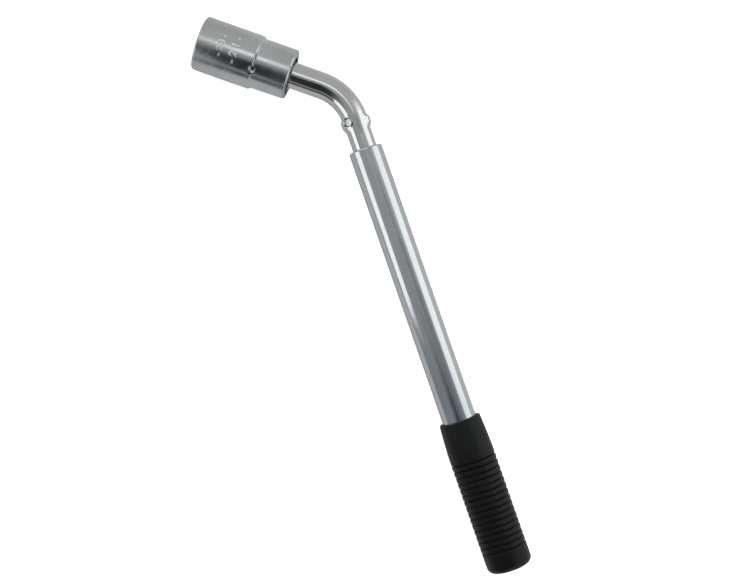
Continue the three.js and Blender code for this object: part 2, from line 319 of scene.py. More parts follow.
def bridge(bm, first, second):
    """Faces between two rings, either of which may be one point."""
    count = max(len(first), len(second))
    for i in range(count):
        j = (i + 1) % count
        corners = [first[i % len(first)], first[j % len(first)]]
        corners += [second[j % len(second)], second[i % len(second)]]
        bm.faces.new(dict.fromkeys(corners))


def loft(name, rings, closed=False):
    """A solid skin over rings of points; closed joins the last ring to the first."""
    bm = bmesh.new()
    loops = [[bm.verts.new(p) for p in points] for points in rings]
    if closed:
        loops.append(loops[0])
    for first, second in zip(loops, loops[1:]):
        bridge(bm, first, second)
    bmesh.ops.recalc_face_normals(bm, faces=bm.faces)
    mesh = bpy.data.meshes.new(name)
    bm.to_mesh(mesh)
    bm.free()
    return show(name, mesh)


def turned(name, axis, outline, closed=False, sides=SIDES):
    """A shape turned about an axis, from (along, radius) points."""
    return loft(name, [ring(axis, s, r, sides) for s, r in outline], closed)


def baked(piece):
    """The piece's mesh with its modifiers applied."""
    graph = bpy.context.evaluated_depsgraph_get()
    return bpy.data.meshes.new_from_object(piece.evaluated_get(graph))


def cut(piece, *tools):
    """The piece with the tools cut out of it."""
    for tool in tools:
        modifier = piece.modifiers.new("cut", "BOOLEAN")
        modifier.object = tool
        modifier.solver = "EXACT"
    mesh = baked(piece)
    name = piece.name
    for used in (piece, *tools):
        bpy.data.objects.remove(used)
    return show(name, mesh)


def drill(axis, s, angle, radius, start, end):
    """A cutter for a hole square to an axis."""
    hole = axis.radial(s, angle)
    outline = [(start, 0), (start, radius), (end, radius), (end, 0)]
    return turned("drill", hole, outline, sides=64)


def sphere_outline(middle, radius, steps):
    """Half a circle, to be turned into a ball."""
    angles = [math.pi * i / steps for i in range(steps + 1)]
    return [(middle - radius * math.cos(a), radius * math.sin(a)) for a in angles]


def wear_by(piece, axis, amount):
    """Stores on each point how worn it is, from 0 to 1, by its place on an axis."""
    values = [amount(*axis.read(v.co)) for v in piece.data.vertices]
    layer = piece.data.attributes.new("wear", "FLOAT", "POINT")
    layer.data.foreach_set("value", values)


# Pieces


def socket_rings():
    """The socket's closed skin: outside, small end, web and large mouth."""
    large = polygon(6, LARGE_HEX, HEX_CORNER_CUT)
    small = polygon(6, SMALL_HEX, HEX_CORNER_CUT)
    square = polygon(4, DRIVE_BORE, HEX_CORNER_CUT)
    outside = [
        (0, LARGE_RADIUS - 2.6),
        (0, LARGE_RADIUS - MOUTH_CHAMFER[1], 0.2),
        (MOUTH_CHAMFER[0], LARGE_RADIUS, 0.4),
        (STEP_FROM, LARGE_RADIUS, 1.0),
        (STEP_TO, SMALL_RADIUS, 0.3),
        (SOCKET_LENGTH - END_CHAMFER[0], SMALL_RADIUS, 0.2),
        (SOCKET_LENGTH, SMALL_RADIUS - END_CHAMFER[1], 0.2),
        (SOCKET_LENGTH, SMALL_RADIUS - 2.4),
    ]
    rings = [ring(HEAD, s, r) for s, r in filleted(outside)]
    rings += recess(small, SMALL_HEX, SOCKET_LENGTH, WEB_TO)
    rings += [ring(HEAD, WEB_TO, square), ring(HEAD, WEB_FROM, square)]
    rings += reversed(recess(large, LARGE_HEX, 0, WEB_FROM))
    return rings


def recess(section, across_flats, mouth, floor):
    """Rings of a hexagonal recess: the cone that leads a nut in, the walls and the broken floor edge."""
    inward = 1 if floor > mouth else -1
    rings = []
    for step in (0, 0.34, 0.67, 1):
        cone = across_flats / 2 + LEAD_IN * (1 - step)
        rings.append(ring(HEAD, mouth + inward * LEAD_IN * step, widest(section, cone)))
    rings.append(ring(HEAD, floor - inward * 0.5, section))
    rings.append(ring(HEAD, floor, polygon(6, across_flats - 1, HEX_CORNER_CUT)))
    return rings


def widest(section, radius):
    """A section, nowhere narrower than radius."""
    return lambda angle: max(section(angle), radius)


def detent_tool():
    """The cutter for the detent hole: the ball's pocket, a narrow throat and a sunk outer mouth."""
    bottom = SMALL_RADIUS - DETENT_DEPTH
    outline = filleted([
        (4, 0),
        (4, DETENT_RADIUS),
        (DETENT_POCKET_TO, DETENT_RADIUS),
        (DETENT_POCKET_TO, DETENT_THROAT),
        (bottom - 0.9, DETENT_THROAT),
        (bottom, DETENT_RADIUS, 0.3),
        (SMALL_RADIUS - 0.3, DETENT_RADIUS, 0.4),
        (LARGE_RADIUS + 1, DETENT_RADIUS + 1.3),
        (LARGE_RADIUS + 1, 0),
    ])
    return turned("detent", HEAD.radial(DRIVE_BALL_AT, DRIVE_TURN), outline, sides=72)


def make_socket():
    piece = cut(loft("socket_body", socket_rings(), closed=True), detent_tool())
    wear_by(piece, HEAD, socket_wear)
    return piece


def socket_wear(s, radius, angle):
    """The mouths' rims wear, and the recesses stay dull inside."""
    rim = max(1 - smooth(s, 0.3, 2.4), smooth(s, SOCKET_LENGTH - 1.8, SOCKET_LENGTH - 0.3))
    inside = 1 - smooth(radius, SMALL_RADIUS - 2.4, SMALL_RADIUS - 1)
    return max(0.75 * rim, inside)


def make_mark(digits, start, height):
    """Size digits between dashes, raised on the socket and wrapped round it."""
    curve = bpy.data.curves.new("digits", "FONT")
    curve.body = f"-{digits}-"
    curve.size = height / 0.7
    curve.space_character = MARK_SPACING
    curve.align_x = "CENTER"
    curve.offset = MARK_WEIGHT
    curve.extrude = MARK_HALF_DEPTH
    curve.bevel_depth = MARK_BEVEL
    curve.bevel_resolution = 2
    curve.resolution_u = 8
    flat = bpy.data.objects.new("digits", curve)
    bpy.context.scene.collection.objects.link(flat)
    mesh = baked(flat)
    bpy.data.objects.remove(flat)
    for vertex in mesh.vertices:
        across, along, out = vertex.co
        angle = MARK_MIDDLE - across / LARGE_RADIUS
        radius = LARGE_RADIUS + MARK_RAISE - (MARK_HALF_DEPTH + MARK_BEVEL) + out
        vertex.co = HEAD.at(start + height - along, radius, angle)
    bm = bmesh.new()
    bm.from_mesh(mesh)
    bmesh.ops.remove_doubles(bm, verts=bm.verts, dist=0.002 * MM)
    bmesh.ops.recalc_face_normals(bm, faces=bm.faces)
    bm.to_mesh(mesh)
    bm.free()
    piece = show("size_mark_" + digits, mesh)
    wear_by(piece, HEAD, mark_wear)
    return piece


def mark_wear(s, radius, angle):
    """The digits' tops are worn a little."""
    return 0.3 * smooth(radius, LARGE_RADIUS, LARGE_RADIUS + MARK_RAISE)


def square_head_rings():
    """The square head's rings, its tip chamfered and its corners turned round."""

    def section(inset, limit):
        flat = polygon(4, DRIVE - 2 * inset)
        return lambda angle: min(flat(angle), limit)

    rings = [[HEAD.at(DRIVE_FROM)], ring(HEAD, DRIVE_FROM, 3)]
    for depth, inset in ((0, 0.4), (0.15, 0.12), (0.4, 0), (0.8, 0), (TIP_CHAMFER, 0)):
        limit = DRIVE_CORNER_RADIUS - TIP_CHAMFER + depth
        rings.append(ring(HEAD, DRIVE_FROM + depth, section(inset, limit)))
    rings.append(ring(HEAD, DRIVE_TO - 0.5, section(0, DRIVE_CORNER_RADIUS)))
    rings.append(ring(HEAD, DRIVE_TO, section(-0.25, DRIVE_CORNER_RADIUS + 0.2)))
    return rings


def shoulder_outline():
    return filleted([
        (DRIVE_TO, SHOULDER_RADIUS - 0.5),
        (DRIVE_TO, SHOULDER_RADIUS, 0.35),
        (SHOULDER_TO, SHOULDER_RADIUS, 0.6),
        (SHOULDER_TO + 1.6, BAR_ROOT_RADIUS, 1.2),
        (BEND_FROM, BAR_ROOT_RADIUS),
    ])


def bar_radius(distance):
    """The bar is forged a little thicker before the bend than after it."""
    before = (BAR_ROOT_RADIUS - BAR_BEND_RADIUS) * (1 - smooth(distance, BEND_FROM - 8, BEND_TO))
    after = (BAR_BEND_RADIUS - BAR_END_RADIUS) * (1 - smooth(distance, BEND_TO - 4, TUBE_MOUTH - 8))
    within = (BAR_END_RADIUS - BAR_RADIUS) * (1 - smooth(distance, TUBE_MOUTH + 3, TUBE_MOUTH + 8))
    return BAR_RADIUS + before + after + within


def ear(s, angle, middle, start, rise, fall, end):
    """How far a staked ear stands out of the bar."""
    turn = math.remainder(angle - middle, TAU)
    along = smooth(s, start, rise) * (1 - smooth(s, fall, end))
    return EAR_RAISE * along * (1 - smooth(abs(turn), EAR_WIDTH * 0.35, EAR_WIDTH * 1.5))


def staked(distance):
    """The bar's section where a press has squeezed two ears and a punch mark into it."""
    s = distance - TUBE_MOUTH

    def radius(angle):
        inside = ear(s, angle, math.pi / 2, *INSIDE_EAR)
        outside = ear(s, angle, -math.pi / 2, *OUTSIDE_EAR)
        turn = math.remainder(angle - PUNCH_TURN, TAU)
        apart = math.hypot(s - PUNCH_AT, turn * BAR_RADIUS)
        rim = PUNCH_RIM * (1 - smooth(apart, PUNCH_RADIUS, 1.5 * PUNCH_RADIUS))
        return bar_radius(distance) + inside + outside + rim

    return radius


def neck_outline():
    return filleted([
        (NECK_FROM - 0.6, BAR_RADIUS),
        (NECK_FROM, BAR_RADIUS - 0.6),
        (NECK_FROM, NECK_RADIUS, 0.3),
        (NECK_TO - 1, NECK_RADIUS, 0.3),
        (NECK_TO, NECK_RADIUS - 1, 0.3),
        (NECK_TO, 0),
    ])


def bar_rings():
    rings = square_head_rings()
    rings += [ring(HEAD, s, r) for s, r in shoulder_outline()]
    bend_steps = 44
    for i in range(1, bend_steps + 1):
        distance = BEND_FROM + (BEND_TO - BEND_FROM) * i / bend_steps
        rings.append(ring(bar_axis(distance), 0, staked(distance)))
    spacing = 0.3
    first = BEND_TO
    for i in range(1, round((TUBE_MOUTH + 9 - BEND_TO) / spacing)):
        distance = first + spacing * i
        rings.append(ring(bar_axis(distance), 0, staked(distance)))
    rings += [ring(HANDLE, s, BAR_RADIUS) for s in (20, 60, 120, 170, NECK_FROM - 3)]
    rings += [ring(HANDLE, s, r) for s, r in neck_outline()]
    return rings


def punch_tool():
    """The cutter that leaves the punch mark: a flat floor and a steep round wall."""
    top = BAR_RADIUS + 1.5
    outline = filleted([
        (BAR_RADIUS - PUNCH_DEPTH + 0.02, 0),
        (BAR_RADIUS - PUNCH_DEPTH, PUNCH_RADIUS - 0.5, 0.35),
        (top, PUNCH_RADIUS + 0.55),
        (top, 0),
    ])
    return turned("punch", HANDLE.radial(PUNCH_AT, PUNCH_TURN), outline, sides=96)


def make_bar():
    reach = 2 * SHOULDER_RADIUS
    piece = cut(
        loft("bent_bar", bar_rings()),
        punch_tool(),
        drill(HEAD, DRIVE_BALL_AT, DRIVE_TURN, DRIVE_BALL_RADIUS + GAP, -1, reach),
        drill(HANDLE, PIN_AT, 0, PIN_RADIUS + GAP, -reach, reach),
        drill(HANDLE, HANDLE_BALL_AT, 0, HANDLE_BALL_RADIUS + GAP, -3.5, reach),
    )
    wear_by(piece, HEAD, lambda s, radius, angle: 1 - smooth(s, SHOULDER_TO, SHOULDER_TO + 3))
    return piece


def make_ball(name, axis, s, angle, height, radius):
    return turned(name, axis.radial(s, angle), sphere_outline(height, radius, 40), sides=72)


def make_spring(name, stand, outer, low, high, wire):
    """A coil spring on an axis, its end turns closed and ground flat."""
    turns = 5
    steps = 48 * turns
    sides = 14
    mean = outer - wire
    closed_pitch = 2.05 * wire
    open_pitch = (high - low - 2 * wire - 2 * closed_pitch) / (turns - 2)

    def height(turn):
        ends = min(turn, 1) + max(turn - turns + 1, 0)
        return low + wire + closed_pitch * ends + open_pitch * min(max(turn - 1, 0), turns - 2)

    def point(step, around):
        turn = turns * step / steps
        s = height(turn) + wire * math.sin(around)
        return stand.at(min(high, max(low, s)), mean + wire * math.cos(around), TAU * turn)

    rings = [[stand.at(height(0), mean, 0)]]
    for step in range(steps + 1):
        rings.append([point(step, TAU * i / sides) for i in range(sides)])
    rings.append([stand.at(height(turns), mean, TAU * turns)])
    return loft(name, rings)


def tube_outline():
    return filleted([
        (0.4, LIP_RADIUS, 0.12),
        (0, LIP_RADIUS + 0.3, 0.12),
        (0, TUBE_RADIUS, LIP_ROUND),
        (TUBE_LENGTH, TUBE_RADIUS, 0.3),
        (TUBE_LENGTH, TUBE_BORE, 0.3),
        (BUSH_TO + GAP + 0.6, TUBE_BORE, 0.2),
        (BUSH_TO + GAP, BUSH_SEAT, 0.2),
        (LIP_LENGTH, BUSH_SEAT, 0.3),
        (LIP_LENGTH, LIP_RADIUS),
    ])


def make_tube():
    piece = turned("handle_tube_body", HANDLE, closed_outline(tube_outline()), closed=True)
    wear_by(piece, HANDLE, tube_wear)
    return piece


def closed_outline(points):
    """The outline without a last point that repeats the first."""
    return points[:-1] if (points[0] - points[-1]).length < 1e-6 else points


def tube_wear(s, radius, angle):
    """The rolled mouth rubs on the bar, and the bore is dull."""
    mouth = 1 - smooth(s, 0.2, 2.2)
    inside = 1 - smooth(radius, TUBE_RADIUS - 0.8, TUBE_RADIUS - 0.3)
    return max(0.5 * mouth, inside if s > LIP_LENGTH / 2 else 0)


def make_bush():
    groove = (BUSH_FROM + BUSH_TO) / 2
    outline = filleted([
        (BUSH_FROM, BUSH_BORE + 0.4),
        (BUSH_FROM, BUSH_RADIUS - 0.4, 0.1),
        (BUSH_FROM + 0.4, BUSH_RADIUS, 0.1),
        (groove - 1.2, BUSH_RADIUS, 0.1),
        (groove - 0.9, BUSH_RADIUS - 0.35, 0.1),
        (groove + 0.9, BUSH_RADIUS - 0.35, 0.1),
        (groove + 1.2, BUSH_RADIUS, 0.1),
        (BUSH_TO - 0.4, BUSH_RADIUS, 0.1),
        (BUSH_TO, BUSH_RADIUS - 0.4, 0.1),
        (BUSH_TO, BUSH_BORE + 0.4, 0.1),
        (BUSH_TO - 0.4, BUSH_BORE, 0.1),
        (BUSH_FROM + 0.4, BUSH_BORE),
    ])
    return turned("bronze_bush", HANDLE, outline, closed=True)


def make_collar():
    outline = filleted([
        (COLLAR_FROM, COLLAR_BORE + 0.3),
        (COLLAR_FROM, COLLAR_RADIUS - 0.4, 0.1),
        (COLLAR_FROM + 0.4, COLLAR_RADIUS, 0.1),
        (COLLAR_TO - 0.4, COLLAR_RADIUS, 0.1),
        (COLLAR_TO, COLLAR_RADIUS - 0.4, 0.1),
        (COLLAR_TO, COLLAR_BORE + 0.3),
        (COLLAR_TO - 0.3, COLLAR_BORE),
        (COLLAR_FROM + 0.3, COLLAR_BORE),
    ])
    ring_piece = turned("stop_ring", HANDLE, outline, closed=True)
    return cut(ring_piece, drill(HANDLE, PIN_AT, 0, PIN_RADIUS + GAP, -20, 20))


def make_pin():
    """A slotted roll pin: a rolled strip with its ends chamfered."""
    stand = HANDLE.radial(PIN_AT, 0)
    slot = math.radians(24)
    steps = 40

    def section(height, inset):
        angles = [slot + (TAU - 2 * slot) * i / steps for i in range(steps + 1)]
        outer = [stand.at(height, PIN_RADIUS - inset, a) for a in angles]
        return outer + [stand.at(height, PIN_BORE, a) for a in reversed(angles)]

    half = PIN_LENGTH / 2
    rings = [section(-half, 0.3), section(0.6 - half, 0), section(half - 0.6, 0), section(half, 0.3)]
    piece = loft("roll_pin", rings)
    bm = bmesh.new()
    bm.from_mesh(piece.data)
    corners = list(bm.verts)
    close_pin_end(bm, corners[:len(rings[0])])
    close_pin_end(bm, corners[-len(rings[-1]):])
    bmesh.ops.recalc_face_normals(bm, faces=bm.faces)
    bm.to_mesh(piece.data)
    bm.free()
    piece.data.shade_smooth()
    piece.data.set_sharp_from_angle(angle=SHARP)
    return piece


def close_pin_end(bm, corners):
    """Faces across the strip, whose corners run along its outside and back along its bore."""
    last = len(corners) - 1
    for i in range(len(corners) // 2 - 1):
        bm.faces.new([corners[i], corners[i + 1], corners[last - i - 1], corners[last - i]])


def make_plug():
    outline = filleted([
        (PLUG_FROM, 0),
        (PLUG_FROM, PLUG_RADIUS - 0.8, 0.2),
        (PLUG_FROM + 0.8, PLUG_RADIUS, 0.2),
        (PLUG_FACE, PLUG_RADIUS, 0.2),
        (PLUG_FACE, PLUG_FLANGE, 0.2),
        (PLUG_TO, PLUG_FLANGE, 0.4),
        (PLUG_TO, 0),
    ])
    return turned("tube_plug", HANDLE, outline, sides=96)


def grip_outline():
    """The lip, the flared collar, the ribs with their grooves, and the rounded closed end."""
    inner = [
        (GRIP_TO - GRIP_END_WALL, 0),
        (GRIP_TO - GRIP_END_WALL, GRIP_BORE, 0.4),
        (GRIP_FROM, GRIP_BORE, 0.35),
        (GRIP_FROM, GRIP_LIP, 0.75),
        (GRIP_FROM + GRIP_LIP_LENGTH, GRIP_LIP + GRIP_LIP_RISE),
    ]
    points = filleted(inner)
    flare_steps = 10
    for i in range(1, flare_steps + 1):
        s = GRIP_LIP_LENGTH + (GRIP_COLLAR_LENGTH - GRIP_LIP_LENGTH) * i / flare_steps
        rise = flare(s) - flare(GRIP_LIP_LENGTH)
        points.append(Vector((GRIP_FROM + s, GRIP_LIP + GRIP_LIP_RISE + GRIP_FLARE * rise)))
    return points + ribs_outline() + end_outline()


def flare(s):
    """How far the collar has widened at a distance from the grip's open end."""
    return smooth(s, -8, GRIP_COLLAR_LENGTH + 6)


def rib_radius(offset):
    """Radius of a rib by the distance from the middle of the nearest groove."""
    crown = RIB_CROWN * (1 - smooth(offset, 0, GROOVE_PITCH / 2))
    dip = 0.5 + 0.5 * math.cos(math.pi * min(1, offset / (GROOVE_WIDTH / 2)))
    return GRIP_RADIUS - crown - (GROOVE_DEPTH - RIB_CROWN) * dip


def ribs_outline():
    """The grooved length, led into from the collar."""
    steps = 16
    first = GRIP_FROM + GROOVE_FROM
    points = []
    for i in range(-steps // 2, steps * GROOVES - steps // 2 + 1):
        s = first + GROOVE_PITCH * i / steps
        offset = abs(math.remainder(s - first, GROOVE_PITCH))
        blend = smooth(s, first - GROOVE_PITCH / 2, first - GROOVE_WIDTH / 2)
        radius = rib_radius(offset)
        points.append(Vector((s, radius * blend + (radius - 0.08) * (1 - blend))))
    return points


def end_outline():
    """The rounded end and its slightly crowned face."""
    start = GRIP_TO - GRIP_END_ROUND
    points = []
    steps = 14
    for i in range(steps + 1):
        angle = math.pi / 2 * i / steps
        radius = GRIP_RADIUS - GRIP_END_ROUND * (1 - math.cos(angle))
        points.append(Vector((start + (GRIP_END_ROUND - GRIP_END_CROWN) * math.sin(angle), radius)))
    flat = GRIP_RADIUS - GRIP_END_ROUND
    for share in (0.94, 0.75, 0.5, 0.25, 0):
        points.append(Vector((GRIP_TO - GRIP_END_CROWN * share ** 2, flat * share)))
    return points


def make_grip():
    piece = turned("ribbed_grip", HANDLE, grip_outline())
    wear_by(piece, HANDLE, lambda s, radius, angle: smooth(radius, GRIP_RADIUS - 0.5, GRIP_RADIUS))
    return piece


# Materials


class Shader:
    """A material's node tree, with short ways to add nodes."""

    def __init__(self, name):
        self.material = bpy.data.materials.new(name)
        self.material.use_nodes = True
        self.tree = self.material.node_tree
        self.surface = self.tree.nodes["Principled BSDF"]

    def set(self, **values):
        for name, value in values.items():
            self.put(self.surface, name.replace("_", " ").title(), value)

    def put(self, node, socket, value):
        target = node.inputs[socket]
        if isinstance(value, bpy.types.NodeSocket):
            self.tree.links.new(value, target)
        else:
            target.default_value = value

    def add(self, kind, inputs, output=0, **settings):
        node = self.tree.nodes.new("ShaderNode" + kind)
        for name, value in settings.items():
            setattr(node, name, value)
        for name, value in inputs.items():
            self.put(node, name, value)
        return node.outputs[output]

    def place(self, along=(1, 0, 0), stretch=(1, 1, 1)):
        """Coordinates in millimetres with X along the piece, each stretched."""
        turn = -math.atan2(along[1], along[0])
        spot = self.add("TexCoord", {}, "Object")
        turned_spot = self.add("VectorRotate", {"Vector": spot, "Angle": turn}, rotation_type="Z_AXIS")
        scale = [1 / (MM * s) for s in stretch]
        return self.add("Mapping", {"Vector": turned_spot, "Scale": scale})

    def noise(self, spot, size, detail=3.0, roughness=0.5):
        """Noise whose features are about size millimetres."""
        inputs = {"Vector": spot, "Scale": 1 / size, "Detail": detail, "Roughness": roughness}
        return self.add("TexNoise", inputs, "Fac")

    def map(self, value, from_low, from_high, to_low, to_high):
        inputs = {"Value": value, 1: from_low, 2: from_high, 3: to_low, 4: to_high}
        return self.add("MapRange", inputs)

    def math(self, operation, first, second=0.0):
        return self.add("Math", {0: first, 1: second}, operation=operation)

    def mix(self, share, first, second):
        """A colour between two, by share."""
        return self.add("MixRGB", {"Fac": share, "Color1": first, "Color2": second})

    def bump(self, height, depth, normal=None):
        """Relief of depth millimetres where height goes from 0 to 1."""
        inputs = {"Height": height, "Distance": depth * MM, "Strength": 1.0}
        if normal:
            inputs["Normal"] = normal
        return self.add("Bump", inputs)

    def wear(self):
        return self.add("Attribute", {}, "Fac", attribute_name="wear")


def grey(value, tint=(1, 1, 1)):
    return tuple(value * t for t in tint) + (1.0,)


def chrome(name, along, bright, waviness, polish, tint=(1, 1, 1)):
    """Plated steel: soft forging waves, lengthwise polishing lines, small pits, and worn dull rims."""
    s = Shader(name)
    spot = s.place(along)
    lines = s.noise(s.place(along, (30, 1, 1)), 0.18, 2.0)
    waves = s.noise(s.place(along, (2.2, 1, 1)), 3.2, 2.0)
    cloud = s.noise(spot, 9, 4.0, 0.6)
    pits = s.map(s.noise(spot, 0.35, 2.0), 0.66, 0.8, 0.0, 1.0)
    wear = s.wear()
    patchy_wear = s.math("MULTIPLY", wear, s.map(s.noise(spot, 1.4, 5.0, 0.7), 0.3, 0.62, 0.35, 1.0))
    clean = s.mix(cloud, grey(bright * 0.9, tint), grey(bright * 1.08, tint))
    lined = s.mix(s.map(lines, 0.35, 0.75, 0.0, 0.22), clean, grey(bright * 0.8, tint))
    worn = s.mix(s.math("MULTIPLY", patchy_wear, 0.55), lined, grey(bright * 0.52, (1, 0.97, 0.93)))
    s.set(base_color=worn, metallic=1.0)
    polished = s.map(cloud, 0.3, 0.7, polish * 0.75, polish * 1.25)
    lined_rough = s.math("ADD", polished, s.map(lines, 0.4, 0.7, 0.0, 0.05))
    s.set(roughness=s.math("ADD", lined_rough, s.math("MULTIPLY", patchy_wear, 0.24)))
    relief = s.bump(waves, waviness)
    relief = s.bump(lines, 0.0012, relief)
    s.put(s.surface, "Normal", s.bump(pits, -0.004, relief))
    return s.material


def black_rubber():
    """Moulded grip: near-black with a green cast, a fine grain, and crowns polished by hands."""
    s = Shader("black_grip")
    spot = s.place(HANDLE.along)
    grain = s.noise(spot, 0.22, 4.0, 0.6)
    cells = s.add("TexVoronoi", {"Vector": spot, "Scale": 2.4}, "Distance")
    cloud = s.noise(spot, 12, 4.0, 0.6)
    dust = s.map(s.noise(spot, 2.2, 6.0, 0.7), 0.45, 0.8, 0.0, 0.35)
    base = s.mix(cloud, (0.0016, 0.0019, 0.0018, 1), (0.0028, 0.0033, 0.0031, 1))
    valleys = s.math("SUBTRACT", 1.0, s.wear())
    s.set(base_color=s.mix(s.math("MULTIPLY", dust, valleys), base, (0.005, 0.0053, 0.005, 1)))
    matt = s.map(cloud, 0.3, 0.7, 0.4, 0.5)
    s.set(roughness=s.math("SUBTRACT", matt, s.math("MULTIPLY", s.wear(), 0.07)))
    s.put(s.surface, "Specular IOR Level", 0.17)
    s.put(s.surface, "Normal", s.bump(cells, 0.018, s.bump(grain, 0.02)))
    return s.material


def steel(name, along, tone, tint=(1, 1, 1), rough=(0.2, 0.38)):
    """Ground steel with fine marks round it and an oily bloom."""
    s = Shader(name)
    marks = s.noise(s.place(along, (1, 25, 25)), 0.12, 2.0)
    bloom = s.noise(s.place(along), 3, 5.0, 0.6)
    s.set(base_color=s.mix(bloom, grey(tone * 0.82, tint), grey(tone * 1.12, tint)), metallic=1.0)
    s.set(roughness=s.map(bloom, 0.3, 0.7, *rough))
    s.put(s.surface, "Normal", s.bump(marks, 0.0025))
    return s.material


def bronze():
    """Oiled sintered bronze, open-pored."""
    s = Shader("bush_bronze")
    spot = s.place(HANDLE.along)
    pores = s.map(s.noise(spot, 0.16, 3.0), 0.6, 0.72, 0.0, 1.0)
    oil = s.noise(spot, 4, 5.0, 0.6)
    base = s.mix(oil, (0.3, 0.19, 0.085, 1), (0.5, 0.35, 0.16, 1))
    s.set(base_color=s.mix(pores, base, (0.1, 0.065, 0.03, 1)), metallic=1.0)
    s.set(roughness=s.map(oil, 0.3, 0.7, 0.28, 0.5))
    s.put(s.surface, "Normal", s.bump(pores, -0.02))
    return s.material


def plug_plastic():
    """Matt moulded plastic with a grain and scuffs."""
    s = Shader("dark_plastic")
    spot = s.place(HANDLE.along)
    grain = s.noise(spot, 0.25, 4.0, 0.6)
    cloud = s.noise(spot, 5, 4.0, 0.6)
    s.set(base_color=s.mix(cloud, (0.02, 0.021, 0.023, 1), (0.038, 0.039, 0.042, 1)))
    s.set(roughness=s.map(grain, 0.3, 0.7, 0.42, 0.62))
    s.put(s.surface, "Normal", s.bump(grain, 0.015))
    return s.material


def paper_floor():
    """Plain pale paper with a barely visible tooth. The chrome mirrors it as the photo's grey table,
    which ends in the dark a little way below the picture."""
    s = Shader("studio_paper")
    tooth = s.noise(s.place(), 0.8, 4.0, 0.6)
    mirrored = s.add("LightPath", {}, "Is Glossy Ray")
    parts = s.tree.nodes.new("ShaderNodeSeparateXYZ")
    s.tree.links.new(s.place((math.cos(-CAMERA_TURN), math.sin(-CAMERA_TURN))), parts.inputs[0])
    near = s.map(parts.outputs["Y"], *TABLE_ENDS, 0.0, 1.0)
    table = s.mix(near, grey(DARK_BEYOND), grey(TABLE_GREY))
    paper = s.mix(tooth, grey(0.86), grey(0.885))
    s.set(base_color=s.mix(mirrored, paper, table), roughness=0.9)
    s.put(s.surface, "Specular IOR Level", 0.0)
    s.put(s.surface, "Emission Color", grey(1.0))
    unmirrored = s.math("SUBTRACT", 1.0, mirrored)
    s.put(s.surface, "Emission Strength", s.math("MULTIPLY", unmirrored, PAPER_GLOW))
    return s.material


# Stage

WALL_GREY = 0.93
TABLE_GREY = 0.45
TABLE_ENDS = (-900, -600)
DARK_BEYOND = 0.03
FLOOR_HALF = 20.0
PAPER_GLOW = 0.62
CAMERA_LENS = 64.1
CAMERA_TURN = math.radians(-19.4)
CAMERA_HEIGHT = 0.754
CAMERA_AIM = Vector((-0.0021, 0.0054, 0.016))
SOFTBOX_AT = Vector((-0.3, -0.008, 0.168))
SOFTBOX_SIZE = (0.257, 0.22)
SOFTBOX_POWER = 0.27
TOP_LIGHT = (Vector((0.1, 0.25, 1.3)), (1.1, 1.1), 13)
SIDE_LIGHT = (Vector((0.95, 0.25, 0.9)), (0.7, 0.7), 12)


def make_camera():
    """Looks down on the wrench, turned so that the handle runs down the picture to the right."""
    data = bpy.data.cameras.new("camera")
    data.lens = CAMERA_LENS
    data.sensor_width = 36
    camera = bpy.data.objects.new("camera", data)
    turn = Matrix.Rotation(-CAMERA_TURN, 3, "Z")
    camera.rotation_euler = turn.to_euler()
    camera.location = CAMERA_AIM + turn @ Vector((0, 0, CAMERA_HEIGHT))
    bpy.context.scene.collection.objects.link(camera)
    bpy.context.scene.camera = camera


def make_floor():
    """The sheet of paper that the wrench lies on."""
    bm = bmesh.new()
    signs = ((-1, -1), (1, -1), (1, 1), (-1, 1))
    corners = [bm.verts.new((x * FLOOR_HALF, y * FLOOR_HALF, 0)) for x, y in signs]
    bm.faces.new(corners)
    mesh = bpy.data.meshes.new("floor")
    bm.to_mesh(mesh)
    bm.free()
    floor = show("floor", mesh)
    floor.data.materials.append(paper_floor())


